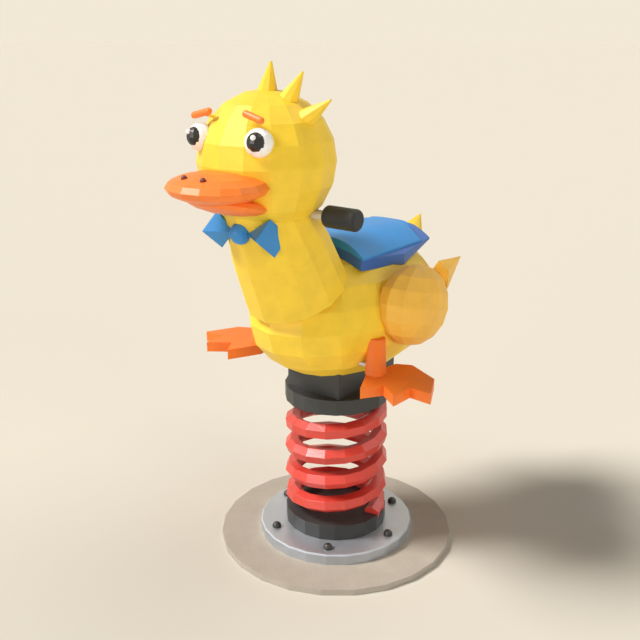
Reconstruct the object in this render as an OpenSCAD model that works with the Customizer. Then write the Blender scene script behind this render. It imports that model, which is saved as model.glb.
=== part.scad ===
// Spring rider: a faceted duck on one coil spring, bolted to a round plate.
// Origin on the spring's axis at the underside of the ground pad.
// +X is the duck's front, +Y its left, +Z up. Millimetres and degrees.

/* [Ground] */
// Diameter of the pad on the ground
pad_d = 395; // [320:5:500]
// Thickness of the pad
pad_t = 10; // [6:1:20]
// Diameter of the base plate
plate_d = 260; // [240:5:310]
// Thickness of the base plate
plate_t = 18; // [14:1:26]
// Width of the bevel on the plate's rim
plate_bevel = 5; // [1:0.5:8]
// Diameter of the circle of anchor bolts
anchor_circle_d = 218; // [204:1:228]
// Least distance from an anchor bolt's head to the plate's rim
anchor_edge = 3; // [1:0.5:6]
// Number of anchor bolts
anchor_count = 6; // [4:1:8]
// Shank diameter of an anchor bolt
anchor_d = 10; // [6:1:12]
// Diameter of an anchor bolt's domed head
anchor_head_d = 15; // [14:1:20]
// Height of an anchor bolt's domed head
anchor_head_h = 9; // [5:0.5:12]

/* [Spring] */
// Diameter of the lower cup and the upper collar
cup_d = 171; // [165:1:190]
// Facets round the cup and the collar
cup_sides = 18; // [12:2:48]
// Height of the lower cup
cup_h = 26; // [24:1:45]
// Height of the upper collar
collar_h = 25; // [24:1:45]
// Free height between the cup and the collar
coil_gap = 199; // [180:1:240]
// Mean diameter of the coil
coil_d = 146; // [138:1:150]
// Diameter of the six-sided spring bar, corner to corner
wire_d = 28; // [22:0.5:30]
// Turns of the coil
coil_turns = 4.5; // [4:0.25:5]
// Direction in which the lower end of the bar lies, seen from above
coil_start = 92; // [0:0.1:360]
// Depth of the bar's centre below the cup's rim at its lower end
cup_seat_depth = 1.5; // [0:0.5:8]
// Depth of the bar's centre above the collar's underside at its upper end
collar_seat_depth = -4.7; // [-7:0.1:6]
// Turn of the bar's section at its lower end
wire_roll = 22; // [0:1:60]
// Further turn of the bar's section in each turn of the coil
wire_twist = 15.5; // [0:0.5:40]

/* [Body] */
// Length of the body
body_l = 392.4; // [360:1:430]
// Width of the body
body_w = 255.4; // [235:1:280]
// Height of the body
body_h = 218; // [205:1:240]
// Distance of the body's centre behind the spring's axis
body_back = 28; // [15:1:40]
// Space between the collar and the underside of the body
body_clear = 19; // [10:1:24]
// Facets round the body and the head
ball_segs = 16; // [12:2:20]
// Rows of facets from the bottom to the top of the body and the head
ball_rows = 10; // [8:2:12]
// Length of the mounting block
block_l = 157; // [140:1:170]
// Width of the mounting block
block_w = 102; // [92:1:112]
// Distance of the block's front face ahead of the spring's axis
block_front = 63.5; // [56:0.5:66]
// Depth of the block inside the body
block_sink = 43; // [36:1:44]

/* [Neck and head] */
// Distance of the neck's base behind the body's front end
neck_setback = 64.4; // [50:0.2:80]
// Distance of the neck's base below the body's top
neck_drop = 54; // [45:1:65]
// Forward lean of the neck
neck_lean = 26.7; // [18:0.1:34]
// Length of the neck
neck_l = 195; // [180:1:210]
// Diameter of the neck at its base
neck_base_d = 160; // [145:1:170]
// Diameter of the neck at two fifths of its length
neck_mid_d = 147; // [130:0.2:155]
// Diameter of the neck at its top
neck_top_d = 104; // [95:1:118]
// Facets round the neck
neck_segs = 14; // [10:2:18]
// Diameter of the head
head_d = 195.5; // [180:0.5:215]
// Distance of the head's centre above the neck's end
head_lift = 8.5; // [0:0.5:20]
// Distance of the head's centre behind the neck's axis
head_setback = 35; // [25:1:42]
// Diameter of the rod through body, neck and head
rod_d = 12; // [10:1:14]

/* [Face] */
// Diameter of an eye
eye_d = 38.2; // [32:0.2:44]
// Direction of an eye from the head's centre, sideways
eye_side = 34.7; // [28:0.1:40]
// Direction of an eye from the head's centre, upwards
eye_up = 21.4; // [15:0.1:26]
// Diameter of a pupil
pupil_d = 28.4; // [24:0.2:32]
// Depth of a pupil's centre inside its eye
pupil_sink = 11.7; // [10:0.1:12.5]
// Direction of each pupil away from the other one
gaze_side = 12.5; // [5:0.1:20]
// Direction in which both eyes look, to the duck's left
gaze_turn = 9.6; // [0:0.1:14]
// Direction of the gaze, upwards
gaze_up = 11; // [0:0.1:20]
// Diameter of the white glint on a pupil
glint_d = 7.4; // [5:0.2:9]
// Diameter of an eyebrow
brow_d = 9.5; // [7:0.5:12]
// Height of an eyebrow's outer end above the head
brow_outer_rise = 19.3; // [12:0.1:24]
// Height of an eyebrow's inner end above the head
brow_inner_rise = 12.4; // [8:0.1:20]
// Diameter of an eyebrow's peg
brow_peg_d = 4; // [3:0.5:6]
// Length of the upper beak
beak_l = 134.5; // [122:0.1:148]
// Width of the upper beak
beak_w = 144; // [132:0.2:154]
// Height of the upper beak
beak_h = 41.4; // [36:0.2:48]
// Distance of the beak's centre ahead of the head's surface
beak_reach = 1.8; // [-8:0.2:10]
// Distance of the beak's centre below the head's centre
beak_drop = 22.7; // [16:0.1:30]
// Length of the lower beak
jaw_l = 115.4; // [105:0.2:125]
// Width of the lower beak
jaw_w = 112; // [100:0.2:120]
// Height of the lower beak
jaw_h = 29; // [25:0.2:34]
// Distance of the lower beak's centre behind the upper one's
jaw_back = 18; // [12:0.5:24]
// Distance of the lower beak's centre below the upper one's
jaw_drop = 25.7; // [20:0.1:28]
// Upward tilt of the lower beak
jaw_tilt = 13; // [5:0.5:18]
// Diameter of a nostril
nostril_d = 8.4; // [6:0.2:11]
// Diameter of a tuft where it leaves the crown
tuft_d = 25; // [18:0.5:28]
// Length of the middle tuft
tuft_l = 36; // [28:1:44]
// Growth in length from each tuft to the next one out
tuft_growth = 3.5; // [0:0.5:5]
// Place of the middle tuft left of the crown's middle, as an angle
tuft_first = 2; // [0:0.5:6]
// Angle from each tuft to the next one out
tuft_step = 23.5; // [21:0.5:26]
// Further lean of a tuft away from the crown's middle
tuft_splay = 8.5; // [0:0.5:12]

/* [Bow] */
// Diameter of the bow's knot
knot_d = 31.5; // [24:0.5:34]
// Distance of the knot along the neck from its base
knot_at = 147.6; // [138:0.2:156]
// Distance of the knot's centre ahead of the neck's surface
knot_proud = -2.6; // [-5:0.2:4]
// Reach of a bow wing from the knot's centre
bow_reach = 72.7; // [60:0.1:85]
// Height of a bow wing
bow_h = 52; // [42:1:64]
// Thickness of a bow wing
bow_t = 29; // [20:1:36]

/* [Saddle] */
// Rise of the pad's crown above the body's top
pad_rise = 5; // [3:0.5:9]
// Thickness of the saddle pad
saddle_pad_t = 17; // [14:0.5:22]
// Radius of the pad's arch
pad_arch_r = 190; // [170:1:230]
// Distance of the saddle's front ahead of the body's centre
saddle_front = 70.5; // [60:0.5:74]
// Width of the pad at its front
pad_front_w = 153; // [140:1:165]
// Width of the pad at its widest
pad_mid_w = 180; // [168:1:190]
// Width of the pad at its rear corners
pad_rear_w = 153; // [140:1:165]
// Distance of the pad's rear corners behind the body's centre
pad_rear = 124; // [110:1:130]
// Distance of the pad's rear edge behind the body's centre
pad_end = 142; // [134:1:146]
// Thickness of the pad's rear corners
pad_edge_t = 3; // [2:0.5:8]
// Thickness of the seat at its crown
seat_t = 12; // [8:0.5:18]
// Drop of the seat's top from its crown to its edge
seat_drop = 26; // [20:0.5:30]
// Further drop of the seat's crown from its middle to its rear edge
seat_rear_drop = 4; // [0:0.5:12]
// Width of the seat
seat_w = 158; // [148:1:164]
// Distance of the seat's rear corners behind the body's centre
seat_rear = 93; // [84:1:100]
// Distance of the seat's rear edge behind the body's centre
seat_end = 117; // [106:1:128]
// Width of the rear edges of pad and seat
saddle_end_w = 68; // [56:1:80]

/* [Handlebar] */
// Diameter of the handlebar's tube
bar_d = 14; // [12:0.5:18]
// Distance of the handlebar behind the head's centre
bar_back = 23.7; // [14:0.1:30]
// Distance of the handlebar below the head's centre
bar_drop = 70.5; // [60:0.5:76]
// Diameter of a grip
grip_d = 31; // [28:0.5:36]
// Distance of a grip's inner end from the middle
grip_from = 85; // [78:0.5:92]
// Length of a grip
grip_l = 54.5; // [46:0.5:90]
// Radius of a grip's rounded ends
grip_round = 5; // [2:0.5:7]

/* [Wings and tail] */
// Length of a wing
wing_l = 158; // [140:1:170]
// Thickness of a wing
wing_w = 89.4; // [80:0.2:104]
// Height of a wing
wing_h = 128; // [110:0.2:136]
// Depth of a wing's centre inside the body's widest side
wing_sink = 0; // [-4:0.5:8]
// Distance of a wing's centre ahead of the body's centre
wing_ahead = 1.4; // [-8:0.2:10]
// Height of a wing's centre above the body's centre
wing_up = 21.4; // [12:0.2:26]
// Upward tilt of a wing's front
wing_tilt = 13.8; // [0:0.2:24]
// Length of a wing's pointed tip
tip_l = 79.5; // [70:0.5:100]
// Length of the tip's root, which runs forward into the wing
tip_root = 40; // [36:1:50]
// Height of the tip's four-sided base, corner to corner
tip_d = 49.6; // [40:0.2:60]
// Width of the tip's base, corner to corner
tip_w = 24.6; // [18:0.2:32]
// Rise of the tip's point
tip_rise = 10; // [0:0.1:16]
// Inward turn of the tip's point
tip_turn = 7.8; // [0:0.1:14]
// Inward roll of the tip about its own axis
tip_roll = 13.4; // [0:0.1:30]
// Distance of the tip's base behind the wing's end
tip_gap = 13; // [8:0.2:16]
// Height of the tip's base above the wing's centre
tip_up = 27.6; // [24:0.2:34]
// Distance of the tip inside the wing's centre
tip_inset = 4.4; // [0:0.2:10]
// Length of the tail feather from its widest place to its point
tail_l = 45; // [36:1:60]
// Diameter of the tail feather at its widest place
tail_d = 48; // [40:1:56]
// Distance of the tail feather's widest place from the body
tail_reach = 32; // [24:1:40]
// Diameter of the tail feather at the inner end of its root
tail_root_d = 22; // [16:1:30]
// Rise of the tail feather
tail_rise = 44.5; // [40:0.5:50]
// Height of the tail feather's seat on the body, as an angle from its middle
tail_seat_up = 33; // [28:0.5:36]

/* [Legs] */
// Distance of a leg's foot ahead of the body's centre
leg_ahead = 85.9; // [76:0.1:92]
// Distance of a leg's foot inside the body's widest side
leg_inset = 11.8; // [6:0.2:16]
// Height of the footrests' top above the body's underside
foot_up = 40.3; // [34:0.1:46]
// Diameter of a leg at the footrest
leg_d = 33.2; // [28:0.2:38]
// Diameter of a leg at its top
leg_top_d = 27.4; // [22:0.2:31]
// Height of a leg
leg_h = 54; // [48:0.5:64]
// Backward lean of a leg over its height
leg_lean = 9; // [4:0.2:14]
// Inward lean of a leg over its height
leg_tuck = 5; // [2:0.5:9]
// Thickness of a footrest
foot_t = 16.5; // [12:0.5:22]
// Length of a footrest from heel to middle toe
foot_l = 126.9; // [115:0.1:140]
// Width of a footrest across its toes
foot_w = 102.4; // [92:0.2:112]
// Width of a footrest's heel
heel_w = 25.6; // [18:0.2:40]
// Outward turn of a footrest
toe_out = 26; // [18:0.5:36]
// Distance of the leg ahead of the heel's edge
heel_back = 47; // [40:0.5:54]
// Distance of the leg inside the footrest's axis
foot_shift = 38; // [28:0.5:40]
// Distance of a footrest's widest place from its heel
foot_wide_at = 50.8; // [44:0.2:60]
// Distance of the side toes' ends from the heel
side_toe_at = 109.4; // [100:0.2:116]
// Distance of the notches between the toes from the heel
notch_at = 90.6; // [80:0.2:100]
// Distance between the two notches
notch_w = 39.2; // [30:0.2:50]
// Diameter of the rod that carries the legs
foot_rod_d = 8; // [6:0.5:10]
// Height of that rod above the footrests' top
foot_rod_up = 10; // [9.5:0.5:14]

/* [Hardware] */
// Shank diameter of the screws in cup, collar and feet
screw_d = 8; // [5:0.5:10]
// Head diameter of those screws
screw_head_d = 13; // [12:0.5:16]
// Head height of those screws
screw_head_h = 6; // [4:0.5:8]
// Distance of the cup and collar screws from the spring's axis
screw_circle_r = 38; // [30:0.5:40]
// Length of the bolts' shanks in the body, past the block
body_bolt_grip = 45; // [30:1:60]
// Shank diameter of the bolts through the block
body_bolt_d = 10; // [8:0.5:12]
// Clearance round bars, rods and screws in their bores
fit_gap = 0.2; // [0.1:0.05:0.3]
// Clearance of the spring bar in its seats
wire_gap = 0.4; // [0.35:0.05:0.6]

/* [Hidden] */
$fn = 48;

// Colours
yellow = [0.98, 0.80, 0.12];
amber = [0.93, 0.62, 0.16];
orange = [0.95, 0.36, 0.10];
blue = [0.10, 0.38, 0.72];
deep_blue = [0.07, 0.22, 0.50];
dark_grey = [0.18, 0.18, 0.18];
steel = [0.72, 0.73, 0.75];

// Heights of the stack from the ground up
plate_z = pad_t;
plate_rim_d = max(plate_d, anchor_circle_d + anchor_head_d + 2 * anchor_edge);
anchor_floor = 2.5;
cup_z = plate_z + plate_t;
cup_top = cup_z + cup_h;
collar_z = cup_top + coil_gap;
block_z = collar_z + collar_h;
body_bottom = block_z + body_clear;
body_at = [-body_back, 0, body_bottom + body_h / 2];
body_r = [body_l, body_w, body_h] / 2;
block_top = body_bottom + block_sink;

// The neck's frame: its axis, its front and its base
neck_axis = [sin(neck_lean), 0, cos(neck_lean)];
neck_front = [cos(neck_lean), 0, -sin(neck_lean)];
neck_at = body_at + [body_r.x - neck_setback, 0, body_r.z - neck_drop];
neck_bend = 0.4 * neck_l;
rod_sink = 40;
rod_rise = 35;

// Diameter of a blunted point, and how far a cut runs past what it cuts
point_d = 1;
overshoot = 1;

// The head and what sits on it
head_r = head_d / 2;
head_at = neck_at + neck_axis * (neck_l + head_lift) - neck_front * head_setback;
beak_r = [beak_l, beak_w, beak_h] / 2;
beak_at = head_at + [head_r + beak_reach, 0, -beak_drop];
jaw_r = [jaw_l, jaw_w, jaw_h] / 2;
jaw_at = beak_at - [jaw_back, 0, jaw_drop];
nostril_side = 20.2;
nostril_up = 47.3;
brow_outer = [36.9, 33.4];
brow_inner = [23.1, 40.2];
brow_foot = [28, 42.3];
brow_peg_sink = 8;
brow_steps = 6;
glint_side = 18;
glint_up = 31;
glint_sink = 0.5;
small_segs = 14;
small_rows = 10;
beak_rows = 8;
tuft_sides = 8;
tuft_sink = 14;
tuft_tip_d = 3;
bar_at = head_at - [bar_back, 0, bar_drop];
grip_end = 6;

// The bow's knot on the front of the neck
knot_at_point = neck_at + neck_axis * knot_at + neck_front * (neck_radius(knot_at) + knot_proud);

// The saddle's crowns, as heights above the body's centre
pad_crown = body_r.z + pad_rise;
seat_crown = pad_crown + seat_t;
saddle_mid = 27;
arch_steps = 12;
seat_steps = 6;
saddle_screw_x = [10, -70];
saddle_screw_y = 66;
saddle_screw_l = 34;
saddle_screw_sink = 3;
saddle_screw_head_h = 4;

// Wings, tail, legs and feet
wing_r = [wing_l, wing_w, wing_h] / 2;
wing_at = body_at + [wing_ahead, body_r.y - wing_sink, wing_up];
wing_segs = 12;
wing_rows = 8;
tip_sides = 4;
dowel_d = 10;
dowel_l = 60;
tail_root = 12;
tail_sides = 12;
leg_sides = 8;
foot_top = body_bottom + foot_up;
leg_at = [body_at.x + leg_ahead, body_r.y - leg_inset, foot_top];
foot_rod_at = [leg_at.x - leg_lean * foot_rod_up / leg_h, 0, foot_top + foot_rod_up];
foot_rod_past = 4;
foot_rod_l = 2 * (leg_at.y + foot_rod_past);
foot_screw_grip = 4;

// The bolts through the block, as places in plan, and the screws round the spring's axis
body_bolt_inset = [28, 16];
screw_count = 4;
body_bolt_head_d = 16;
body_bolt_head_h = 8;

// The coil's path: each end is one straight run a little over a bar's width long
end_run = 1.02;
wire_r = wire_d / 2;
coil_r = coil_d / 2;
coil_pitch = (coil_gap + cup_seat_depth + collar_seat_depth) / coil_turns;
coil_sweep = 360 * coil_turns;
coil_slope = atan2(coil_pitch, PI * coil_d);
end_sweep = 2 * asin(end_run * wire_d / coil_d);
mid_sweep = coil_sweep - 2 * end_sweep;
rings_per_turn = 16;
mid_steps = ceil(mid_sweep * rings_per_turn / 360);
coil_angles = concat([0], [for (i = [0:mid_steps]) end_sweep + mid_sweep * i / mid_steps], [coil_sweep]);
wire_sides = 6;
ring_sweep = 360 / rings_per_turn;
groove_extra = 1.5 * ring_sweep;
cup_sweep = 360 * (cup_seat_depth + wire_r + wire_gap) / coil_pitch + groove_extra;
collar_sweep = 360 * (collar_seat_depth + wire_r + wire_gap) / coil_pitch + groove_extra;

// Direction given by an angle to the left and an angle upwards
function aim(side, up) = [cos(up) * cos(side), cos(up) * sin(side), sin(up)];

// The same place on the duck's left (side 1) or right (side -1)
function on_side(p, side) = [p.x, side * p.y, p.z];

// Radius of the neck at a distance along it
function neck_radius(s) = lookup(s, [[0, neck_base_d], [neck_bend, neck_mid_d], [neck_l, neck_top_d]]) / 2;

// Corners of a faceted ball with three radii: bottom pole, rows, top pole
function ball_points(r, segs, rows) = concat(
    [[0, 0, -r.z]],
    [for (i = [1:rows - 1], j = [0:segs - 1])
        let (up = -90 + 180 * i / rows, turn = 360 * j / segs)
        [r.x * cos(up) * cos(turn), r.y * cos(up) * sin(turn), r.z * sin(up)]],
    [[0, 0, r.z]]
);

function ball_faces(segs, rows) = let (top = 1 + (rows - 1) * segs) concat(
    [for (j = [0:segs - 1]) [0, 1 + j, 1 + (j + 1) % segs]],
    [for (i = [0:rows - 3], j = [0:segs - 1], k = [0, 1])
        let (a = 1 + i * segs + j, b = 1 + i * segs + (j + 1) % segs)
        k == 0 ? [a, a + segs, b] : [b, a + segs, b + segs]],
    [for (j = [0:segs - 1]) [top, top - segs + (j + 1) % segs, top - segs + j]]
);

// Faces of a tube through rings of n corners each, with flat ends
function tube_faces(n, rings) = let (last = (rings - 1) * n) concat(
    [for (i = [0:rings - 2], j = [0:n - 1], k = [0, 1])
        let (a = i * n + j, b = i * n + (j + 1) % n)
        k == 0 ? [a, a + n, b] : [b, a + n, b + n]],
    [for (j = [1:n - 2]) [0, j, j + 1]],
    [for (j = [1:n - 2]) [last, last + j + 1, last + j]]
);

// Place of the coil's centre line at a sweep from its lower end
function coil_point(sweep) = [
    coil_r * cos(coil_start + sweep),
    coil_r * sin(coil_start + sweep),
    cup_top - cup_seat_depth + coil_pitch * sweep / 360
];

// One ring of the bar: square to the straight run at both ends
function coil_ring(sweep, radius) =
    let (
        square_at = sweep == 0 ? end_sweep / 2 : sweep == coil_sweep ? sweep - end_sweep / 2 : sweep,
        turn = coil_start + square_at,
        outward = [cos(turn), sin(turn), 0],
        upward = [sin(turn) * sin(coil_slope), -cos(turn) * sin(coil_slope), cos(coil_slope)],
        roll = wire_roll + wire_twist * sweep / 360
    )
    [for (k = [0:wire_sides - 1])
        let (a = roll - 360 * k / wire_sides)
        coil_point(sweep) + radius * (cos(a) * outward + sin(a) * upward)];

// Least distance between corners of rings that lie half a turn or more apart along the bar
coil_rings = [for (a = coil_angles) coil_ring(a, wire_r)];
half_turn = rings_per_turn / 2;
coil_self_gap = min([
    for (i = [0:len(coil_rings) - 1], j = [i + half_turn:1:min(i + 3 * half_turn, len(coil_rings) - 1)])
    for (p = coil_rings[i], q = coil_rings[j])
    norm(p - q)
]);

// Height of the pad's top at a distance from the middle
function pad_top(y) = pad_crown - pad_arch_r + sqrt(pad_arch_r * pad_arch_r - y * y);

// Height of the seat's top at a distance behind the body's centre and a distance from the middle
function seat_top(behind, y) =
    let (rear = seat_rear_drop * pow(max(0, (behind - saddle_mid) / (seat_end - saddle_mid)), 2))
    seat_crown - rear - (seat_drop - rear) * pow(abs(y) / (seat_w / 2), 3);

// Half the seat's width at a distance behind the body's centre
function seat_half(behind) = lookup(behind, [[seat_rear, seat_w], [seat_end, saddle_end_w]]) / 2;

// One section of the seat: its top from right to left, then two corners below the pad's top
function seat_ring(behind) = let (half = seat_half(behind), low = pad_top(pad_mid_w / 2)) concat(
    [for (y = arch_stops(half)) [-behind, y, seat_top(behind, y)]],
    [[-behind, half, low], [-behind, -half, low]]
);

// Distances from the middle at which the saddle's arch is cut into facets
function arch_stops(half) = [for (i = [-arch_steps:arch_steps]) half * i / arch_steps];

module faceted_ball(r, segs, rows) {
    polyhedron(points = ball_points(r, segs, rows), faces = ball_faces(segs, rows), convexity = 4);
}

module loft(rings) {
    polyhedron(
        points = [for (ring = rings) each ring],
        faces = tube_faces(len(rings[0]), len(rings)),
        convexity = 8
    );
}

// Turns +Z to point along a direction
module aimed(direction) {
    rotate([0, acos(direction.z / norm(direction)), atan2(direction.y, direction.x)])
        children();
}

// A bar of diameter d from one place to another
module bar_between(from, to, d) {
    translate(from)
        aimed(to - from)
            cylinder(h = norm(to - from), d = d);
}

// A bar of diameter d along Y
module cross_bar(at, length, d) {
    translate(at)
        rotate([90, 0, 0])
            cylinder(h = length, d = d, center = true);
}

// A screw pointing up from z = 0: head, then shank. The gap is added all round for its bore.
module screw(head_d, head_h, d, length, gap = 0) {
    cylinder(h = head_h + gap, d = head_d + 2 * gap);
    cylinder(h = head_h + length + gap, d = d + 2 * gap);
}

module body_form() {
    translate(body_at)
        faceted_ball(body_r, ball_segs, ball_rows);
}

module head_form() {
    translate(head_at)
        faceted_ball([head_r, head_r, head_r], ball_segs, ball_rows);
}

module neck_form() {
    loft([for (s = [0, neck_bend, neck_l])
        [for (k = [0:neck_segs - 1])
            let (a = 360 * k / neck_segs)
            neck_at + neck_axis * s + neck_radius(s) * (neck_front * cos(a) + [0, sin(a), 0])]]);
}

module beak_form() {
    translate(beak_at)
        faceted_ball(beak_r, ball_segs, beak_rows);
}

module wing_form(side) {
    translate(on_side(wing_at, side))
        rotate([0, -wing_tilt, 0])
            faceted_ball(wing_r, wing_segs, wing_rows);
}

module eye_form(side) {
    translate(on_side(head_at + head_r * aim(eye_side, eye_up), side))
        faceted_ball([eye_d, eye_d, eye_d] / 2, small_segs, small_rows);
}

// Centre of a pupil, on the line of the gaze
function pupil_at(side) =
    head_at + head_r * aim(side * eye_side, eye_up)
    + (eye_d / 2 - pupil_sink) * aim(side * gaze_side + gaze_turn, gaze_up);

module pupil_form(side) {
    translate(pupil_at(side))
        faceted_ball([pupil_d, pupil_d, pupil_d] / 2, small_segs, small_rows);
}

module knot_form() {
    translate(knot_at_point)
        faceted_ball([knot_d, knot_d, knot_d] / 2, small_segs, small_rows);
}

// The path of the bar through one of its seats, with room round it
module seat_groove(from, to) {
    loft([for (a = coil_angles) if (a >= from && a <= to) coil_ring(a, wire_r + wire_gap)]);
}

// Places round the spring's axis
module around(count, radius, first = 0) {
    for (k = [0:count - 1])
        rotate([0, 0, first + 360 * k / count])
            translate([radius, 0, 0])
                children();
}

module at_anchors() {
    around(anchor_count, anchor_circle_d / 2, 180 / anchor_count)
        children();
}

module at_cup_screws() {
    translate([0, 0, plate_z])
        around(screw_count, screw_circle_r)
            children();
}

module at_collar_screws() {
    translate([0, 0, collar_z])
        around(screw_count, screw_circle_r)
            children();
}

module at_body_bolts() {
    for (x = [block_front - block_l + body_bolt_inset.x, block_front - body_bolt_inset.x], side = [1, -1])
        translate([x, side * (block_w / 2 - body_bolt_inset.y), block_z])
            children();
}

module at_saddle_screws() {
    for (x = saddle_screw_x, side = [1, -1])
        translate(body_at + [x, side * saddle_screw_y, pad_top(saddle_screw_y) - saddle_screw_sink])
            rotate([180, 0, 0])
                children();
}

module saddle_screw(gap = 0) {
    screw(screw_head_d, saddle_screw_head_h, screw_d, saddle_screw_l, gap);
}

module neck_rod_form(gap = 0) {
    bar_between(
        neck_at - neck_axis * (rod_sink + gap),
        neck_at + neck_axis * (neck_l + rod_rise + gap),
        rod_d + 2 * gap
    );
}

module foot_rod_form(gap = 0) {
    cross_bar(foot_rod_at, foot_rod_l + 2 * gap, foot_rod_d + 2 * gap);
}

module dowel_form(side, gap = 0) {
    cross_bar([wing_at.x, side * (wing_at.y - wing_sink), wing_at.z], dowel_l + 2 * gap, dowel_d + 2 * gap);
}

module ground_pad() {
    color([0.74, 0.68, 0.60])
        difference() {
            cylinder(h = pad_t, d = pad_d, $fn = 96);
            at_anchors()
                translate([0, 0, anchor_floor])
                    cylinder(h = pad_t, d = anchor_d + 2 * fit_gap);
        }
}

module base_plate() {
    color(steel)
        difference() {
            translate([0, 0, plate_z])
                rotate_extrude($fn = 96)
                    polygon([
                        [0, 0], [plate_rim_d / 2, 0], [plate_rim_d / 2, plate_t - plate_bevel],
                        [plate_rim_d / 2 - plate_bevel, plate_t], [0, plate_t]
                    ]);
            at_anchors()
                cylinder(h = cup_z + overshoot, d = anchor_d + 2 * fit_gap);
            at_cup_screws()
                screw(screw_head_d, screw_head_h, screw_d, plate_t, fit_gap);
        }
}

module anchor_bolts() {
    color(dark_grey)
        at_anchors() {
            translate([0, 0, anchor_floor + fit_gap])
                cylinder(h = cup_z - anchor_floor - fit_gap, d = anchor_d);
            translate([0, 0, cup_z])
                intersection() {
                    translate([0, 0, anchor_head_h - anchor_head_d / 2])
                        sphere(d = anchor_head_d);
                    cylinder(h = anchor_head_h, d = anchor_head_d);
                }
        }
}

module lower_cup() {
    color(dark_grey)
        difference() {
            translate([0, 0, cup_z])
                cylinder(h = cup_h, d = cup_d, $fn = cup_sides);
            seat_groove(0, cup_sweep);
            at_cup_screws()
                screw(screw_head_d, screw_head_h, screw_d, plate_t, fit_gap);
        }
}

module cup_screws() {
    color(steel)
        at_cup_screws()
            screw(screw_head_d, screw_head_h, screw_d, plate_t);
}

module spring() {
    echo(least_gap_between_turns = coil_self_gap);
    color([0.88, 0.10, 0.08])
        loft(coil_rings);
}

module upper_collar() {
    color(dark_grey)
        difference() {
            translate([0, 0, collar_z])
                cylinder(h = collar_h, d = cup_d, $fn = cup_sides);
            seat_groove(coil_sweep - collar_sweep, coil_sweep);
            at_collar_screws()
                screw(screw_head_d, screw_head_h, screw_d, collar_h, fit_gap);
        }
}

module collar_screws() {
    color(steel)
        at_collar_screws()
            screw(screw_head_d, screw_head_h, screw_d, collar_h);
}

// The block's outline between two heights, with room round it for its pocket
module block_form(gap = 0) {
    translate([block_front - block_l - gap, -block_w / 2 - gap, block_z])
        cube([block_l + 2 * gap, block_w + 2 * gap, block_top - block_z]);
}

module body_bolt(gap = 0) {
    screw(
        body_bolt_head_d, body_bolt_head_h, body_bolt_d,
        block_top - block_z - body_bolt_head_h + body_bolt_grip, gap
    );
}

module mounting_block() {
    color(dark_grey)
        difference() {
            block_form();
            at_body_bolts()
                body_bolt(fit_gap);
            at_collar_screws()
                screw(screw_head_d, screw_head_h, screw_d, collar_h, fit_gap);
        }
}

module body_bolts() {
    color(steel)
        at_body_bolts()
            body_bolt();
}

module body_shell() {
    color(yellow)
        difference() {
            body_form();
            block_form(fit_gap);
            at_body_bolts()
                body_bolt(fit_gap);
            neck_rod_form(fit_gap);
            foot_rod_form(fit_gap);
            at_saddle_screws()
                saddle_screw(fit_gap);
            for (side = [1, -1])
                dowel_form(side, fit_gap);
        }
}

module neck() {
    color(yellow)
        difference() {
            neck_form();
            body_form();
            head_form();
            neck_rod_form(fit_gap);
            cross_bar(bar_at, 2 * grip_from, bar_d + 2 * fit_gap);
        }
}

module neck_rod() {
    color(steel)
        neck_rod_form();
}

module head() {
    color(yellow)
        difference() {
            head_form();
            neck_rod_form(fit_gap);
            cross_bar(bar_at, 2 * grip_from, bar_d + 2 * fit_gap);
        }
}

// A tuft on the crown, counted outwards from the middle one
module tuft(count) {
    length = tuft_l + count * tuft_growth;
    height = tuft_sink + length;
    root_d = tuft_d * height / length;
    color(yellow)
        difference() {
            translate(head_at)
                rotate([-tuft_first - count * tuft_step, 0, 0])
                    translate([0, 0, head_r])
                        rotate([-tuft_splay, 0, 0])
                            translate([0, 0, -tuft_sink])
                                cylinder(h = height, d1 = root_d, d2 = tuft_tip_d, $fn = tuft_sides);
            head_form();
        }
}

module beak_upper() {
    color(orange)
        difference() {
            beak_form();
            head_form();
        }
}

module beak_lower() {
    color(orange)
        difference() {
            translate(jaw_at)
                rotate([0, -jaw_tilt, 0])
                    faceted_ball(jaw_r, ball_segs, beak_rows);
            beak_form();
            head_form();
            neck_form();
        }
}

module nostril(side) {
    place = aim(side * nostril_side, nostril_up);
    color([0.35, 0.08, 0.10])
        difference() {
            translate(beak_at + [for (k = [0:2]) beak_r[k] * place[k]])
                faceted_ball([nostril_d, nostril_d, nostril_d] / 2, small_segs, small_rows);
            beak_form();
        }
}

module eye(side) {
    color("white")
        difference() {
            eye_form(side);
            head_form();
        }
}

module pupil(side) {
    color([0.06, 0.06, 0.07])
        difference() {
            pupil_form(side);
            eye_form(side);
        }
}

module glint(side) {
    place = pupil_at(side) + (pupil_d / 2 - glint_sink) * aim(side * glint_side, glint_up);
    color("white")
        difference() {
            translate(place)
                faceted_ball([glint_d, glint_d, glint_d] / 2, small_segs, small_rows);
            pupil_form(side);
        }
}

// A bar with ball ends, turned in one piece, on a peg that stands on the head
module eyebrow(side) {
    outer = (head_r + brow_outer_rise) * aim(side * brow_outer[0], brow_outer[1]);
    inner = (head_r + brow_inner_rise) * aim(side * brow_inner[0], brow_inner[1]);
    middle = (outer + inner) / 2;
    foot = (head_r - brow_peg_sink) * aim(side * brow_foot[0], brow_foot[1]);
    length = norm(inner - outer);
    low_end = [for (i = [1:brow_steps]) let (a = 90 * i / brow_steps) [sin(a), -cos(a)]];
    high_end = [for (i = [brow_steps:-1:1]) let (a = 90 * i / brow_steps) [sin(a), cos(a)]];
    color(orange)
        difference() {
            translate(head_at) {
                translate(outer)
                    aimed(inner - outer)
                        rotate_extrude()
                            polygon(concat(
                                [[0, -brow_d / 2]],
                                [for (p = low_end) brow_d / 2 * p],
                                [for (p = high_end) brow_d / 2 * p + [0, length]],
                                [[0, length + brow_d / 2]]
                            ));
                bar_between(foot, middle, brow_peg_d);
            }
            head_form();
        }
}

module bow_knot() {
    color(blue)
        difference() {
            knot_form();
            neck_form();
        }
}

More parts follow.
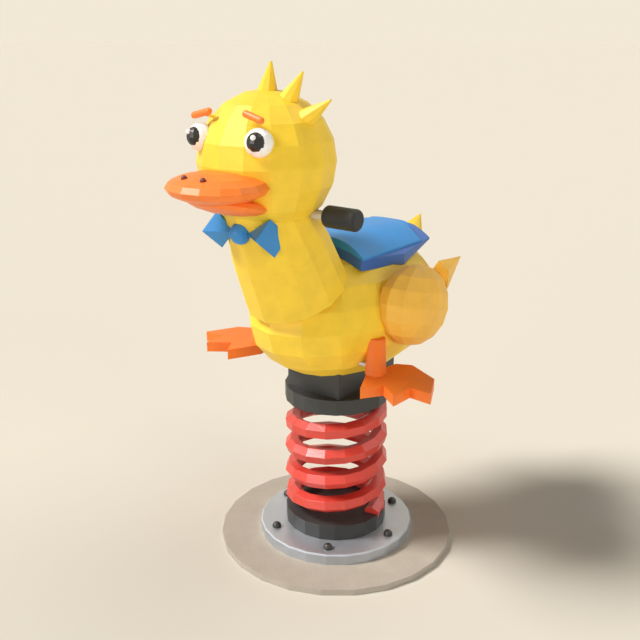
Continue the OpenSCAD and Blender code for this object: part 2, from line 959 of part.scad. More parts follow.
// A pointed wing that spreads from the knot: rim corners in order, then the point at the back
module bow_wing(side) {
    top = 0.43 * bow_h;
    corners = [
        [0.12 * bow_t, 0.08 * bow_reach, 0],
        [-0.33 * bow_t, 0.56 * bow_reach, top],
        [-0.46 * bow_t, 0.77 * bow_reach, 0.37 * bow_h],
        [0.08 * bow_t, bow_reach, -0.15 * bow_h],
        [-0.44 * bow_t, 0.66 * bow_reach, top - bow_h],
        [-0.92 * bow_t, 0.69 * bow_reach, -0.08 * bow_h]
    ];
    faces = [
        [0, 1, 3], [1, 2, 3], [0, 3, 4],
        [1, 0, 5], [2, 1, 5], [3, 2, 5], [4, 3, 5], [0, 4, 5]
    ];
    color(blue)
        difference() {
            mirror([0, side < 0 ? 1 : 0, 0])
                translate(knot_at_point)
                    polyhedron(points = corners, faces = faces);
            knot_form();
            neck_form();
            head_form();
        }
}

// A prism along X from the saddle's front, or ahead of it, to its rear, with the section given in Y and Z
module along_saddle(section, ahead = 0) {
    translate(body_at + [saddle_front + ahead, 0, 0])
        rotate([90, 0, -90])
            linear_extrude(saddle_front + pad_end + ahead)
                polygon([for (p = section) [-p.x, p.y]]);
}

// An upright prism of the saddle's outline in plan, given for its left half from front to rear
module saddle_outline(left_half) {
    right_half = [for (i = [len(left_half) - 1:-1:0]) [left_half[i].x, -left_half[i].y]];
    translate(body_at)
        linear_extrude(seat_crown + seat_t)
            polygon(concat(left_half, right_half));
}

// A block over the whole width whose underside is level in front and rises to the pad's thin rear edge
module pad_side_form() {
    low = pad_top(pad_mid_w / 2) - saddle_pad_t;
    rear = pad_top(pad_rear_w / 2) - pad_edge_t;
    translate(body_at + [0, pad_mid_w / 2, 0])
        rotate([90, 0, 0])
            linear_extrude(pad_mid_w)
                polygon([
                    [saddle_front, low], [saddle_front, seat_crown], [-pad_end, seat_crown],
                    [-pad_end, rear], [-pad_rear, rear], [-saddle_mid, low]
                ]);
}

module saddle_pad() {
    stops = arch_stops(pad_mid_w / 2);
    top = [for (y = stops) [y, pad_top(y)]];
    underside = [for (i = [len(stops) - 1:-1:0]) [stops[i], pad_top(stops[i]) - saddle_pad_t]];
    color(deep_blue)
        difference() {
            intersection() {
                along_saddle(concat(top, underside));
                saddle_outline([
                    [saddle_front, pad_front_w / 2], [-saddle_mid, pad_mid_w / 2],
                    [-pad_rear, pad_rear_w / 2], [-pad_end, saddle_end_w / 2]
                ]);
                pad_side_form();
            }
            body_form();
            neck_form();
            at_saddle_screws() {
                saddle_screw(fit_gap);
                translate([0, 0, -seat_t])
                    cylinder(h = seat_t + fit_gap, d = screw_head_d + 2 * fit_gap);
            }
        }
}

module saddle_seat() {
    pad_w = pad_mid_w / 2;
    under = [for (y = arch_stops(pad_w)) [y, pad_top(y)]];
    places = concat(
        [-saddle_front],
        [for (i = [0:seat_steps]) saddle_mid + (seat_rear - saddle_mid) * i / seat_steps],
        [seat_end]
    );
    color(blue)
        difference() {
            translate(body_at)
                loft([for (behind = places) seat_ring(behind)]);
            along_saddle(concat(under, [[pad_w, 0], [-pad_w, 0]]), overshoot);
            neck_form();
        }
}

module saddle_screws() {
    color(steel)
        at_saddle_screws()
            saddle_screw();
}

module handlebar() {
    color(steel)
        cross_bar(bar_at, 2 * (grip_from + grip_l - grip_end), bar_d);
}

// A rubber sleeve with a closed, rounded end
module grip(side) {
    corner = [for (i = [0:4]) grip_round * [cos(22.5 * i), sin(22.5 * i)]];
    reach = grip_d / 2 - grip_round;
    far = grip_l - grip_round;
    bore_r = bar_d / 2 + fit_gap;
    color([0.10, 0.10, 0.10])
        translate([bar_at.x, side * grip_from, bar_at.z])
            rotate([-90 * side, 0, 0])
                rotate_extrude()
                    polygon(concat(
                        [[bore_r, 0]],
                        [for (i = [4:-1:0]) [reach + corner[i].x, grip_round - corner[i].y]],
                        [for (p = corner) [reach + p.x, far + p.y]],
                        [[0, grip_l], [0, grip_l - grip_end], [bore_r, grip_l - grip_end]]
                    ));
}

module wing(side) {
    color(amber)
        difference() {
            wing_form(side);
            body_form();
            dowel_form(side, fit_gap);
        }
}

module wing_dowels() {
    color(steel)
        for (side = [1, -1])
            dowel_form(side);
}

// Corners of the tip's section at a distance along it, as a share of its base
function tip_ring(along, share) = [for (k = [0:tip_sides - 1])
    let (a = 360 * k / tip_sides, high = share * tip_d / 2 * cos(a), wide = share * tip_w / 2 * sin(a))
    [high * cos(tip_roll) + wide * sin(tip_roll), wide * cos(tip_roll) - high * sin(tip_roll), along]];

// A four-sided point behind the wing, with a root that runs into the wing
module wing_tip(side) {
    base = wing_at + [-wing_r.x - tip_gap, -tip_inset, tip_up];
    blunt = point_d / tip_d;
    color(amber)
        difference() {
            mirror([0, side < 0 ? 1 : 0, 0])
                translate(base)
                    rotate([0, -90 + tip_rise, tip_turn])
                        loft([tip_ring(-tip_root, blunt), tip_ring(0, 1), tip_ring(tip_l, blunt)]);
            wing_form(side);
            body_form();
        }
}

// Corners of the tail feather's section of diameter d at a distance along it
function tail_ring(along, d) = [for (k = [0:tail_sides - 1])
    let (a = 360 * k / tail_sides)
    [d / 2 * cos(a), d / 2 * sin(a), along]];

module tail_feather() {
    seat = [-body_r.x * cos(tail_seat_up), 0, body_r.z * sin(tail_seat_up)];
    color(yellow)
        difference() {
            translate(body_at + seat)
                rotate([0, -90 + tail_rise, 0])
                    loft([
                        tail_ring(-tail_root, tail_root_d), tail_ring(tail_reach, tail_d),
                        tail_ring(tail_reach + tail_l, point_d)
                    ]);
            body_form();
        }
}

// A level ring of a leg's corners at a height above the footrest
function leg_ring(up) =
    let (r = (leg_d + (leg_top_d - leg_d) * up / leg_h) / 2)
    [for (k = [0:leg_sides - 1])
        let (a = 360 * (k + 0.5) / leg_sides)
        leg_at + [r * cos(a) - leg_lean * up / leg_h, r * sin(a) - leg_tuck * up / leg_h, up]];

module leg(side) {
    color(orange)
        difference() {
            mirror([0, side < 0 ? 1 : 0, 0])
                loft([leg_ring(0), leg_ring(leg_h)]);
            body_form();
            wing_form(side);
            foot_rod_form(fit_gap);
            at_foot_screws()
                foot_screw(fit_gap);
        }
}

// The webbed outline of a footrest: heel, outer toe, notch and middle toe, mirrored across its axis
module foot_outline() {
    half = [
        [0, heel_w / 2], [foot_wide_at, foot_w / 2], [side_toe_at, foot_w / 2], [notch_at, notch_w / 2]
    ];
    polygon(concat(
        half,
        [[foot_l, 0]],
        [for (i = [3:-1:0]) [half[i].x, -half[i].y]]
    ));
}

module foot(side) {
    color(orange)
        difference() {
            mirror([0, side < 0 ? 1 : 0, 0])
                translate([leg_at.x, leg_at.y, foot_top - foot_t])
                    rotate([0, 0, toe_out])
                        translate([-heel_back, foot_shift, 0])
                            linear_extrude(foot_t)
                                foot_outline();
            at_foot_screws()
                foot_screw(fit_gap);
        }
}

module at_foot_screws() {
    for (side = [1, -1])
        translate([leg_at.x, side * leg_at.y, foot_top - foot_t])
            children();
}

// A screw from the footrest's underside up into the leg
module foot_screw(gap = 0) {
    screw(screw_head_d, screw_head_h, screw_d, foot_t - screw_head_h + foot_screw_grip, gap);
}

module foot_screws() {
    color(steel)
        at_foot_screws()
            foot_screw();
}

module foot_rod() {
    color(steel)
        foot_rod_form();
}

ground_pad();
base_plate();
anchor_bolts();
lower_cup();
cup_screws();
spring();
upper_collar();
collar_screws();
mounting_block();
body_bolts();
body_shell();
neck();
neck_rod();
head();
tuft(0);  // tuft_middle
tuft(1);  // tuft_inner
tuft(2);  // tuft_outer
beak_upper();
beak_lower();
nostril(1);  // nostril_left
nostril(-1);  // nostril_right
eye(1);  // eye_left
eye(-1);  // eye_right
pupil(1);  // pupil_left
pupil(-1);  // pupil_right
glint(1);  // glint_left
glint(-1);  // glint_right
eyebrow(1);  // eyebrow_left
eyebrow(-1);  // eyebrow_right
bow_knot();
bow_wing(1);  // bow_wing_left
bow_wing(-1);  // bow_wing_right
saddle_pad();
saddle_seat();
saddle_screws();
handlebar();
grip(1);  // grip_left
grip(-1);  // grip_right
wing(1);  // wing_left
wing(-1);  // wing_right
wing_dowels();
wing_tip(1);  // wing_tip_left
wing_tip(-1);  // wing_tip_right
tail_feather();
leg(1);  // leg_left
leg(-1);  // leg_right
foot(1);  // foot_left
foot(-1);  // foot_right
foot_screws();
foot_rod();
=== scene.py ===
"""Looks of a duck spring rider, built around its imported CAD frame.

Lengths are metres and angles degrees, in the part's frame: +X front, +Y left, +Z up."""
import math

import bmesh
import bpy
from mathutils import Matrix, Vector


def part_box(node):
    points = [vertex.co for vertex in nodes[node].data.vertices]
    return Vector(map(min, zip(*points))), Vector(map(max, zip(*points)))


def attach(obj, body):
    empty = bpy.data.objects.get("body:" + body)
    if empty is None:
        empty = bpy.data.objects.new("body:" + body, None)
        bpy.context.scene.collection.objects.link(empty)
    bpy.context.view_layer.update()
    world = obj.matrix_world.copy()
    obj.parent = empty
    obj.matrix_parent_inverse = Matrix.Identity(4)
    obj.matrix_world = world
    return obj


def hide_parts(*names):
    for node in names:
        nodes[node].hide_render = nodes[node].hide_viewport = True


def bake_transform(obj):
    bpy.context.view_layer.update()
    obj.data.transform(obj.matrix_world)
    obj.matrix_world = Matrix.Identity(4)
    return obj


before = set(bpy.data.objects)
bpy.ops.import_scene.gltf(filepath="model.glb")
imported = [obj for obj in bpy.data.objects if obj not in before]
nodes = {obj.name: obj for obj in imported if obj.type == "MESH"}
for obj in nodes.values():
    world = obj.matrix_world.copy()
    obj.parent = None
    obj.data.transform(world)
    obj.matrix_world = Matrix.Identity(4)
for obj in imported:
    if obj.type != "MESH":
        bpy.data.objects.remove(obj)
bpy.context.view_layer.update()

# Camera: place, viewing direction and lens
CAMERA_AT = (1.0968, 0.8154, 0.8356)
CAMERA_ALONG = (-0.7504, -0.5817, -0.3139)
CAMERA_LENS_MM = 50
CAMERA_SENSOR_MM = 36

# Lamps: azimuth from +X and elevation towards the lamp, strength, spread, colour
NEUTRAL = (1.0, 1.0, 1.0)
KEY_LAMP = (-46.2, 47, 3.7, 18, (1.0, 0.985, 0.965))
FILL_LAMP = (75, 4, 1.65, 36, NEUTRAL)
FRONT_LAMP = (-5, 3, 1.15, 36, NEUTRAL)
BACK_LAMP = (150, 55, 0.62, 50, NEUTRAL)
LAMP_DISTANCE = 3
WORLD_LEVEL = 0.03
BACKDROP = (0.890, 0.811, 0.668)

# Ground: its colour, the painted shade near the part (a darker tint in place of the shadow and
# occlusion that fall there) and the distances over which that fades, and the noise (scale, detail,
# roughness), strength and shade of a faint drift of tone
FLOOR = (0.776, 0.712, 0.598)
FLOOR_PAINTED_SHADE = (0.86, 0.885, 0.90)
FLOOR_PAINTED_SHADE_AT = (0.2, 0.04, 0.0)
FLOOR_PAINTED_SHADE_REACH = (0.15, 0.75)
FLOOR_NOISE = (1.3, 2.0, 0.5)
FLOOR_DRIFT = 0.02
FLOOR_DRIFT_SHADE = 0.8
FLOOR_ROUGH = 0.9
FLOOR_REACH = 40

# Noise of the finishes: scale, detail, roughness
DRIFT_NOISE = (26, 4.0, 0.6)
SCUFF_NOISE = (150, 6.0, 0.7)
SPECK_NOISE = (420, 1.0, 0.5)
GRAIN_DETAIL = 2.0
GRAIN_ROUGH = 0.5

# Levels of noise, slope or agreement of normals at which an effect starts and is full
TONE_LEVELS = (0.3, 0.7)
GLOSS_LEVELS = (0.25, 0.75)
SCUFF_LEVELS = (0.42, 0.62)
SPECK_LEVELS = (0.56, 0.64)
SLOPE_LEVELS = (0.05, 0.15)
EDGE_LEVELS = (0.995, 0.93)

# How far the roughness drifts each way, what wear adds to it, how dark specks are, how soft the
# border between two colours is, and how finely rounded edges are sampled
GLOSS_SPREAD = 0.06
WORN_ROUGH = 0.25
SPECK_SHADE = 0.55
WITHIN_BLUR = 0.0005
EDGE_SAMPLES = 6

# Colours that two finishes share, and how far from the head's centre the eyebrows' pegs are yellow
DUCK_YELLOW = (0.92, 0.62, 0.040)
BEAK_ORANGE = (0.92, 0.22, 0.030)
HEAD_AT = (0.1639, 0.0, 0.6585)
PEG_REACH = 0.1045

# The spring's bar: the CAD source's values, but rolled 5.2 degrees further about its own line
CUP_TOP = 0.054
COIL_GAP = 0.199
COIL_R = 0.073
WIRE_R = 0.014
COIL_TURNS = 4.5
COIL_START = 92
CUP_SEAT_DEPTH = 0.0015
COLLAR_SEAT_DEPTH = -0.0047
WIRE_ROLL = 27.2
WIRE_TWIST = 15.5
WIRE_SIDES = 6
RINGS_PER_TURN = 16
END_RUN = 1.02

# Heights of two bands; the spring is cut in two halfway between the first's top and the second's
# bottom
BEND_LOW = (0.066, 0.1365)
BEND_HIGH = (0.1645, 0.236)

# Flat sides of the round pieces, as the photograph shows them, and the plate's narrow bevel
PAD_SIDES = 24
PLATE_SIDES = 24
CUP_SIDES = 20
PLATE_BEVEL = 0.002

# The ring that fills the CAD plate's wider bevel: its width, how far its underside lies above the
# plate's, and how far its top lies below the plate's
RIM_WIDTH = 0.008
RIM_RISE = 0.004
RIM_STEP = 0.00005

# How far a cutter's corners lie inside the CAD outline, how far cutters reach past a solid, and
# how near to each other points are joined
TRIM_IN = 0.00015
TRIM_OVER = 0.002
WELD = 0.000002

# The left bow wing from the knot's centre: its apex in the knot, then the front, top, back and
# bottom corners of its flat end
KNOT_AT = (0.2230, 0.0, 0.5668)
BOW_WING = [
    (0.0, 0.012, 0.0),
    (0.0240, 0.0490, 0.0004),
    (-0.0068, 0.0490, 0.0245),
    (-0.0450, 0.0490, -0.0050),
    (-0.0144, 0.0490, -0.0300),
]

# The left wing tip: the corners of its flat front and its point, then the same for the tongue
# that holds it in the wing
TIP_POINTS = [
    (-0.1137, 0.1180, 0.4782),
    (-0.1186, 0.1334, 0.4630),
    (-0.1239, 0.1303, 0.4305),
    (-0.1149, 0.1078, 0.4639),
    (-0.1962, 0.1127, 0.4688),
    (-0.1190, 0.1168, 0.4505),
    (-0.1226, 0.1258, 0.4372),
    (-0.1215, 0.1270, 0.4442),
    (-0.1179, 0.1180, 0.4575),
    (-0.0930, 0.1240, 0.4460),
]


def feed(tree, node, key, value):
    """Sets an input: links an output socket, or stores a constant."""
    if isinstance(value, bpy.types.NodeSocket):
        tree.links.new(value, node.inputs[key])
    else:
        node.inputs[key].default_value = value


def add(tree, kind, out, inputs, **options):
    """Adds a node, sets its options, feeds its inputs and returns one of its outputs."""
    node = tree.nodes.new(kind)
    for key, value in options.items():
        setattr(node, key, value)
    for key, value in inputs.items():
        feed(tree, node, key, value)
    return node.outputs[out]


def noise(tree, coords, scale, detail, rough):
    inputs = {"Vector": coords, "Scale": scale, "Detail": detail, "Roughness": rough}
    return add(tree, "ShaderNodeTexNoise", "Fac", inputs)


def remap(tree, value, levels, low=0.0, high=1.0):
    """Takes a value from between two levels to between low and high."""
    inputs = {"Value": value, "From Min": levels[0], "From Max": levels[1],
              "To Min": low, "To Max": high}
    return add(tree, "ShaderNodeMapRange", "Result", inputs)


def mix(tree, factor, a, b):
    """Mixes two colours, which are the Mix node's inputs 6 and 7 and its output 2."""
    return add(tree, "ShaderNodeMix", 2, {0: factor, 6: a, 7: b}, data_type="RGBA")


def scalar(tree, operation, a, b):
    return add(tree, "ShaderNodeMath", "Value", {0: a, 1: b}, operation=operation)


def vector(tree, operation, a, b):
    return add(tree, "ShaderNodeVectorMath", "Value", {0: a, 1: b}, operation=operation)


def edge_mask(tree, radius):
    """1 on sharp edges and 0 on flat faces, with the rounded normal that goes with it."""
    rounded = add(tree, "ShaderNodeBevel", "Normal", {"Radius": radius}, samples=EDGE_SAMPLES)
    true_normal = add(tree, "ShaderNodeNewGeometry", "True Normal", {})
    return remap(tree, vector(tree, "DOT_PRODUCT", rounded, true_normal), EDGE_LEVELS), rounded


def rgba(colour, factor=1.0):
    return tuple(min(1.0, c * factor) for c in colour) + (1.0,)


def node_material(name):
    """A new material, with its node tree and its shader."""
    material = bpy.data.materials.new(name)
    material.use_nodes = True
    return material, material.node_tree, material.node_tree.nodes["Principled BSDF"]


def finish_material(name, colour, rough, grain=900, grain_depth=0.00006, metallic=0.0, shine=0.5,
                    wear=0.25, wear_tint=1.25, edge=0.0012, tone=0.07, speck=0.0, slope_rough=0.0,
                    within=None):
    """A moulded, painted or cast surface: tone drift, fine grain, scuffed edges and uneven gloss.

    speck is the strength of dark specks. slope_rough is added to the roughness of sloping faces.
    within gives a point, a distance and the colour of what lies nearer to that point."""
    material, tree, shader = node_material(name)
    coords = add(tree, "ShaderNodeTexCoord", "Object", {})
    drift = noise(tree, coords, *DRIFT_NOISE)
    mask, rounded = edge_mask(tree, edge)

    dark, light = rgba(colour, 1 - tone), rgba(colour, 1 + tone)
    body = mix(tree, remap(tree, drift, TONE_LEVELS), dark, light)
    if speck:
        specks = remap(tree, noise(tree, coords, *SPECK_NOISE), SPECK_LEVELS, high=speck)
        body = mix(tree, specks, body, rgba(colour, SPECK_SHADE))
    if within:
        point, reach, other = within
        gap = vector(tree, "DISTANCE", coords, point)
        fade = (reach - WITHIN_BLUR, reach + WITHIN_BLUR)
        body = mix(tree, remap(tree, gap, fade, 1.0, 0.0), body, rgba(other))
    scuff = remap(tree, noise(tree, coords, *SCUFF_NOISE), SCUFF_LEVELS, high=wear)
    worn = scalar(tree, "MULTIPLY", mask, scuff)
    feed(tree, shader, "Base Color", mix(tree, worn, body, rgba(colour, wear_tint)))

    gloss = remap(tree, drift, GLOSS_LEVELS, rough - GLOSS_SPREAD, rough + GLOSS_SPREAD)
    gloss = scalar(tree, "ADD", gloss, scalar(tree, "MULTIPLY", worn, WORN_ROUGH))
    if slope_rough:
        normal = add(tree, "ShaderNodeNewGeometry", "True Normal", {})
        up = add(tree, "ShaderNodeSeparateXYZ", "Z", {"Vector": normal})
        slope = scalar(tree, "MULTIPLY", up, scalar(tree, "SUBTRACT", 1.0, up))
        gloss = scalar(tree, "ADD", gloss, remap(tree, slope, SLOPE_LEVELS, high=slope_rough))
    feed(tree, shader, "Roughness", gloss)

    fine = noise(tree, coords, grain, GRAIN_DETAIL, GRAIN_ROUGH)
    inputs = {"Strength": 1.0, "Distance": grain_depth, "Height": fine, "Normal": rounded}
    feed(tree, shader, "Normal", add(tree, "ShaderNodeBump", "Normal", inputs))
    feed(tree, shader, "Metallic", metallic)
    feed(tree, shader, "Specular IOR Level", shine)
    return material


YELLOW = finish_material("yellow_plastic", DUCK_YELLOW, 0.48, edge=0.0005)
AMBER = finish_material("amber_plastic", (0.93, 0.52, 0.070), 0.50)
ORANGE = finish_material("orange_plastic", BEAK_ORANGE, 0.42)
BROW = finish_material("eyebrow_plastic", BEAK_ORANGE, 0.42,
                       within=(HEAD_AT, PEG_REACH, DUCK_YELLOW))
FOOT = finish_material("footrest_plastic", (0.93, 0.205, 0.022), 0.48)
MAROON = finish_material("nostril_plastic", (0.16, 0.02, 0.015), 0.35)
WHITE = finish_material("eye_white", (0.93, 0.94, 0.92), 0.22, tone=0.02)
BLACK = finish_material("pupil_black", (0.018, 0.018, 0.018), 0.20, tone=0.1)
BOW = finish_material("bow_plastic", (0.035, 0.262, 0.64), 0.48)
SEAT = finish_material("seat_plastic", (0.03, 0.27, 0.66), 0.46)
SADDLE_PAD = finish_material("saddle_pad_plastic", (0.035, 0.135, 0.43), 0.44)
RED = finish_material("spring_paint", (0.64, 0.041, 0.025), 0.37, grain=260, grain_depth=0.00012,
                      shine=0.95)
CAST = finish_material("cast_paint", (0.035, 0.036, 0.036), 0.46, grain=520, grain_depth=0.00025,
                       wear_tint=2.2)
BLOCK = finish_material("block_paint", (0.043, 0.045, 0.046), 0.44, grain=600,
                        grain_depth=0.00015, wear_tint=2.2)
BOLT = finish_material("bolt_paint", (0.03, 0.03, 0.03), 0.40, wear_tint=2.5)
PLATE = finish_material("plate_steel", (0.49, 0.525, 0.575), 0.38, metallic=0.65, grain=700,
                        tone=0.05, slope_rough=0.45)
STEEL = finish_material("bar_steel", (0.66, 0.67, 0.70), 0.42, metallic=0.35, grain=1200, tone=0.05)
PAD = finish_material("pad_rubber", (0.45, 0.40, 0.33), 0.80, grain=420, grain_depth=0.0004,
                      speck=0.15, wear=0.1)
GRIP = finish_material("grip_rubber", (0.015, 0.017, 0.019), 0.56, grain=800, grain_depth=0.0002,
                       wear_tint=1.6)

# Every CAD node's look; those that new pieces replace keep one too
LOOKS = {
    PAD: ["ground_pad"],
    PLATE: ["base_plate"],
    BOLT: ["anchor_bolts"],
    CAST: ["lower_cup", "upper_collar"],
    BLOCK: ["mounting_block"],
    STEEL: ["cup_screws", "collar_screws", "body_bolts", "neck_rod", "saddle_screws", "handlebar",
            "wing_dowels", "foot_screws", "foot_rod"],
    YELLOW: ["body_shell", "neck", "head", "tuft_middle", "tuft_inner", "tuft_outer",
             "tail_feather"],
    ORANGE: ["beak_upper", "beak_lower"],
    BROW: ["eyebrow_left", "eyebrow_right"],
    FOOT: ["leg_left", "leg_right", "foot_left", "foot_right"],
    MAROON: ["nostril_left", "nostril_right"],
    WHITE: ["eye_left", "eye_right", "glint_left", "glint_right"],
    BLACK: ["pupil_left", "pupil_right"],
    BOW: ["bow_knot", "bow_wing_left", "bow_wing_right"],
    SEAT: ["saddle_seat"],
    SADDLE_PAD: ["saddle_pad"],
    GRIP: ["grip_left", "grip_right"],
    AMBER: ["wing_left", "wing_right", "wing_tip_left", "wing_tip_right"],
    RED: ["spring"],
}


def dress(mesh, look):
    """Gives a mesh one material."""
    mesh.materials.clear()
    mesh.materials.append(look)


for look, names in LOOKS.items():
    for name in names:
        dress(nodes[name].data, look)


def new_mesh(name, points, faces):
    mesh = bpy.data.meshes.new(name)
    mesh.from_pydata(points, [], faces)
    return mesh


def add_object(name, data):
    """Links a new object to the scene."""
    obj = bpy.data.objects.new(name, data)
    bpy.context.scene.collection.objects.link(obj)
    return obj


def quads(count, size):
    """Faces between each ring of points and the next, for a number of rings of one size."""
    faces = []
    for i in range(count - 1):
        for j in range(size):
            a, b = i * size + j, i * size + (j + 1) % size
            faces.append((a, b, b + size, a + size))
    return faces


def ends(count, size):
    """Faces that close the first and the last ring."""
    last = (count - 1) * size
    return [tuple(reversed(range(size))), tuple(range(last, last + size))]


def coil_rings():
    """Rings of the bar's corners from its lower to its upper end, each with its centre's height."""
    pitch = (COIL_GAP + CUP_SEAT_DEPTH + COLLAR_SEAT_DEPTH) / COIL_TURNS
    slope = math.atan2(pitch, 2 * math.pi * COIL_R)
    sweep_end = 360 * COIL_TURNS
    end_sweep = 2 * math.degrees(math.asin(END_RUN * WIRE_R / COIL_R))
    middle = sweep_end - 2 * end_sweep
    steps = math.ceil(middle * RINGS_PER_TURN / 360)
    sweeps = [end_sweep + middle * i / steps for i in range(steps + 1)]
    # Each end ring is square to the straight run that it closes
    squares = [end_sweep / 2] + sweeps + [sweep_end - end_sweep / 2]
    rings = []
    for sweep, square_at in zip([0] + sweeps + [sweep_end], squares):
        at = math.radians(COIL_START + sweep)
        turn = math.radians(COIL_START + square_at)
        height = CUP_TOP - CUP_SEAT_DEPTH + pitch * sweep / 360
        centre = Vector((COIL_R * math.cos(at), COIL_R * math.sin(at), height))
        outward = Vector((math.cos(turn), math.sin(turn), 0))
        upward = Vector((math.sin(turn) * math.sin(slope), -math.cos(turn) * math.sin(slope),
                         math.cos(slope)))
        corners = []
        for k in range(WIRE_SIDES):
            a = math.radians(WIRE_ROLL + WIRE_TWIST * sweep / 360 - 360 * k / WIRE_SIDES)
            corners.append(centre + WIRE_R * (math.cos(a) * outward + math.sin(a) * upward))
        rings.append((centre.z, corners))
    return rings


def spring_half(name, rings):
    """A closed bar through the rings, in place of the CAD spring."""
    points = [corner for _, corners in rings for corner in corners]
    mesh = new_mesh(name, points, quads(len(rings), WIRE_SIDES) + ends(len(rings), WIRE_SIDES))
    dress(mesh, RED)
    half = add_object(name, mesh)
    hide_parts("spring")
    return half


coil = coil_rings()
split_z = (BEND_LOW[1] + BEND_HIGH[0]) / 2
split = min(range(len(coil)), key=lambda i: abs(coil[i][0] - split_z))
spring_lower = spring_half("spring_lower", coil[:split + 1])
spring_upper = spring_half("spring_upper", coil[split:])
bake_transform(spring_lower)
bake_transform(spring_upper)


def connected_forms(shape):
    """The sets of points of a bmesh that edges connect."""
    forms, seen = [], set()
    for vert in shape.verts:
        if vert in seen:
            continue
        form, front = {vert}, [vert]
        while front:
            for edge in front.pop().link_edges:
                for other in edge.verts:
                    if other not in form:
                        form.add(other)
                        front.append(other)
        seen |= form
        forms.append(form)
    return forms


def welded(mesh):
    """Joins points that lie together, keeps the largest form and turns its faces outwards."""
    shape = bmesh.new()
    shape.from_mesh(mesh)
    bmesh.ops.remove_doubles(shape, verts=shape.verts, dist=WELD)
    bmesh.ops.dissolve_degenerate(shape, edges=shape.edges, dist=WELD)
    largest = max(connected_forms(shape), key=len)
    stray = [vert for vert in shape.verts if vert not in largest]
    bmesh.ops.delete(shape, geom=stray, context="VERTS")
    bmesh.ops.recalc_face_normals(shape, faces=shape.faces)
    shape.to_mesh(mesh)
    shape.free()
    return mesh


def cut(mesh, operation, other):
    """A new mesh: one mesh after a boolean operation with another."""
    pair = [add_object("cut", welded(part)) for part in (mesh, other)]
    knife = pair[0].modifiers.new("cut", "BOOLEAN")
    knife.operation = operation
    knife.solver = "EXACT"
    knife.object = pair[1]
    bpy.context.view_layer.update()
    changed = pair[0].evaluated_get(bpy.context.evaluated_depsgraph_get())
    result = bpy.data.meshes.new_from_object(changed)
    for obj in pair:
        bpy.data.objects.remove(obj)
    return welded(result)


def place(name, mesh, body, node, look):
    """Shows a mesh, flat shaded, in place of a CAD node."""
    if "custom_normal" in mesh.attributes:
        mesh.attributes.remove(mesh.attributes["custom_normal"])
    mesh.shade_flat()
    mesh.name = name
    dress(mesh, look)
    piece = add_object(name, mesh)
    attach(piece, body)
    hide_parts(node)


def turned(profile, sides):
    """A ring of points round +Z, with one on +X, for each radius and height of a profile."""
    angles = [2 * math.pi * k / sides for k in range(sides)]
    return [(r * math.cos(a), r * math.sin(a), z) for r, z in profile for a in angles]


def rim(low, high, sides):
    """A ring that fills the wider bevel of a round CAD node; welding closes it."""
    inner, outer = high[0] - RIM_WIDTH, high[0] + TRIM_OVER
    bottom, top = low[2] + RIM_RISE, high[2] - RIM_STEP
    profile = [(inner, bottom), (outer, bottom), (outer, top), (inner, top), (inner, bottom)]
    return new_mesh("rim", turned(profile, sides), quads(len(profile), sides))


def trim(name, node, body, look, sides, bevel=0.0):
    """Shows a round CAD node with flat sides, and where one is given, with a narrower bevel."""
    low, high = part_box(node)
    blank = nodes[node].data.copy()
    reach, inset = high[0] - TRIM_IN, 0.0
    if bevel:
        blank = cut(blank, "UNION", rim(low, high, sides))
        inset = bevel + TRIM_OVER
    profile = [(reach, low[2] - TRIM_OVER), (reach, high[2] - bevel),
               (reach - inset, high[2] + TRIM_OVER)]
    faces = quads(len(profile), sides) + ends(len(profile), sides)
    cutter = new_mesh("cutter", turned(profile, sides), faces)
    place(name, cut(blank, "INTERSECT", cutter), body, node, look)


trim("pad_flat_sided", "ground_pad", "base", PAD, PAD_SIDES)
trim("plate_flat_sided", "base_plate", "base", PLATE, PLATE_SIDES, PLATE_BEVEL)
trim("cup_flat_sided", "lower_cup", "base", CAST, CUP_SIDES)
trim("collar_flat_sided", "upper_collar", "rider", CAST, CUP_SIDES)


def bow_cone():
    """The left bow wing: a four-sided cone with its flat end outwards, cut by neck and knot."""
    points = [Vector(KNOT_AT) + Vector(corner) for corner in BOW_WING]
    faces = [(1, 2, 3, 4)] + [(0, k, k % 4 + 1) for k in range(1, 5)]
    mesh = new_mesh("bow_cone", points, faces)
    for other in ("neck", "bow_knot"):
        mesh = cut(mesh, "DIFFERENCE", nodes[other].data.copy())
    return mesh


left_cone = bow_cone()
right_cone = left_cone.copy()
for vertex in right_cone.vertices:
    vertex.co.y = -vertex.co.y
right_cone.flip_normals()
place("bow_cone_left", left_cone, "rider", "bow_wing_left", BOW)
place("bow_cone_right", right_cone, "rider", "bow_wing_right", BOW)


def wing_tip(name, node, side):
    """A four-sided point with a flat front, and a thin tongue from it into the wing."""
    points = [(x, side * y, z) for x, y, z in TIP_POINTS]
    faces = []
    for start in (0, 5):
        ring, apex = range(start, start + 4), start + 4
        faces.append(tuple(ring))
        faces += [(ring[k], apex, ring[(k + 1) % 4]) for k in range(4)]
    mesh = new_mesh(name, points, faces)
    shape = bmesh.new()
    shape.from_mesh(mesh)
    bmesh.ops.recalc_face_normals(shape, faces=shape.faces)
    shape.to_mesh(mesh)
    shape.free()
    place(name, mesh, "rider", node, AMBER)


wing_tip("tip_point_left", "wing_tip_left", 1)
wing_tip("tip_point_right", "wing_tip_right", -1)


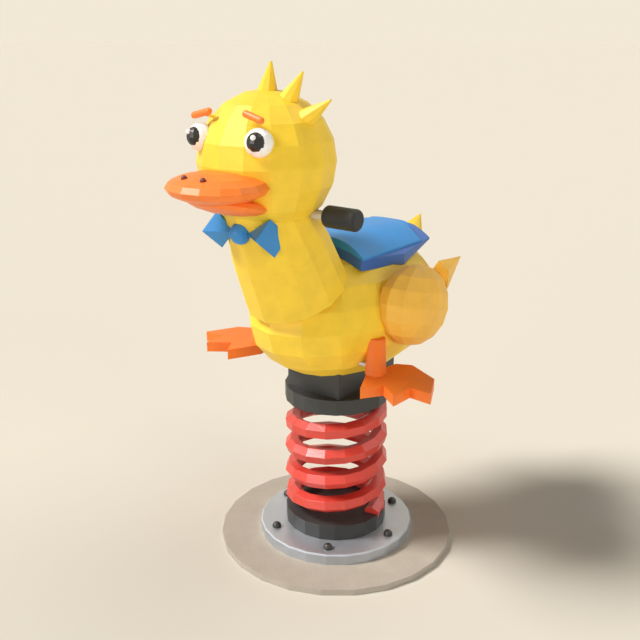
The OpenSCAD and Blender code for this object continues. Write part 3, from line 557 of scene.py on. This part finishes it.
def floor_material():
    """Pale matt ground with a faint drift of tone, and painted shade that darkens it round the
    part.
    """
    material, tree, shader = node_material("floor_matt")
    coords = add(tree, "ShaderNodeTexCoord", "Object", {})
    # Painted shade: the ground is coloured darker near a point in front of the part, in place of
    # the shadow and occlusion that fall there
    gap = vector(tree, "DISTANCE", coords, FLOOR_PAINTED_SHADE_AT)
    painted_shade = rgba([c * tint for c, tint in zip(FLOOR, FLOOR_PAINTED_SHADE)])
    ground = mix(tree, remap(tree, gap, FLOOR_PAINTED_SHADE_REACH), painted_shade, rgba(FLOOR))
    drift = remap(tree, noise(tree, coords, *FLOOR_NOISE), TONE_LEVELS, high=FLOOR_DRIFT)
    ground = mix(tree, drift, ground, rgba(FLOOR, FLOOR_DRIFT_SHADE))
    feed(tree, shader, "Base Color", ground)
    feed(tree, shader, "Roughness", FLOOR_ROUGH)
    feed(tree, shader, "Specular IOR Level", 0.0)
    return material


def make_floor():
    r = FLOOR_REACH
    mesh = new_mesh("floor", [(-r, -r, 0), (r, -r, 0), (r, r, 0), (-r, r, 0)], [(0, 1, 2, 3)])
    dress(mesh, floor_material())
    add_object("floor", mesh)


def make_world():
    """Even soft light all round; the camera, gloss and glass see the pale backdrop."""
    world = bpy.data.worlds.new("studio")
    bpy.context.scene.world = world
    world.use_nodes = True
    tree = world.node_tree
    tree.nodes.clear()
    rays = tree.nodes.new("ShaderNodeLightPath").outputs
    seen = scalar(tree, "MAXIMUM", rays["Is Camera Ray"], rays["Is Glossy Ray"])
    seen = scalar(tree, "MAXIMUM", seen, rays["Is Transmission Ray"])
    light = add(tree, "ShaderNodeBackground", "Background",
                {"Color": rgba(NEUTRAL), "Strength": WORLD_LEVEL})
    backdrop = add(tree, "ShaderNodeBackground", "Background", {"Color": rgba(BACKDROP)})
    chosen = add(tree, "ShaderNodeMixShader", "Shader", {0: seen, 1: light, 2: backdrop})
    feed(tree, tree.nodes.new("ShaderNodeOutputWorld"), "Surface", chosen)


def make_lamp(name, azimuth, elevation, strength, spread, colour):
    data = bpy.data.lights.new(name, "SUN")
    data.energy = strength
    data.angle = math.radians(spread)
    data.color = colour
    lamp = add_object(name, data)
    a, e = math.radians(azimuth), math.radians(elevation)
    towards = Vector((math.cos(e) * math.cos(a), math.cos(e) * math.sin(a), math.sin(e)))
    lamp.location = LAMP_DISTANCE * towards
    lamp.rotation_euler = towards.to_track_quat("Z", "Y").to_euler()
    return lamp


def make_camera():
    data = bpy.data.cameras.new("camera")
    data.lens = CAMERA_LENS_MM
    data.sensor_width = CAMERA_SENSOR_MM
    camera = add_object("camera", data)
    camera.location = CAMERA_AT
    camera.rotation_euler = Vector(CAMERA_ALONG).to_track_quat("-Z", "Y").to_euler()
    bpy.context.scene.camera = camera


make_floor()
make_world()
make_lamp("key", *KEY_LAMP)
# The fill lamp leaves no highlight of its own
make_lamp("fill", *FILL_LAMP).visible_glossy = False
make_lamp("front", *FRONT_LAMP)
make_lamp("back", *BACK_LAMP)
make_camera()
bpy.context.scene.view_settings.view_transform = "Standard"

bpy.context.view_layer.update()
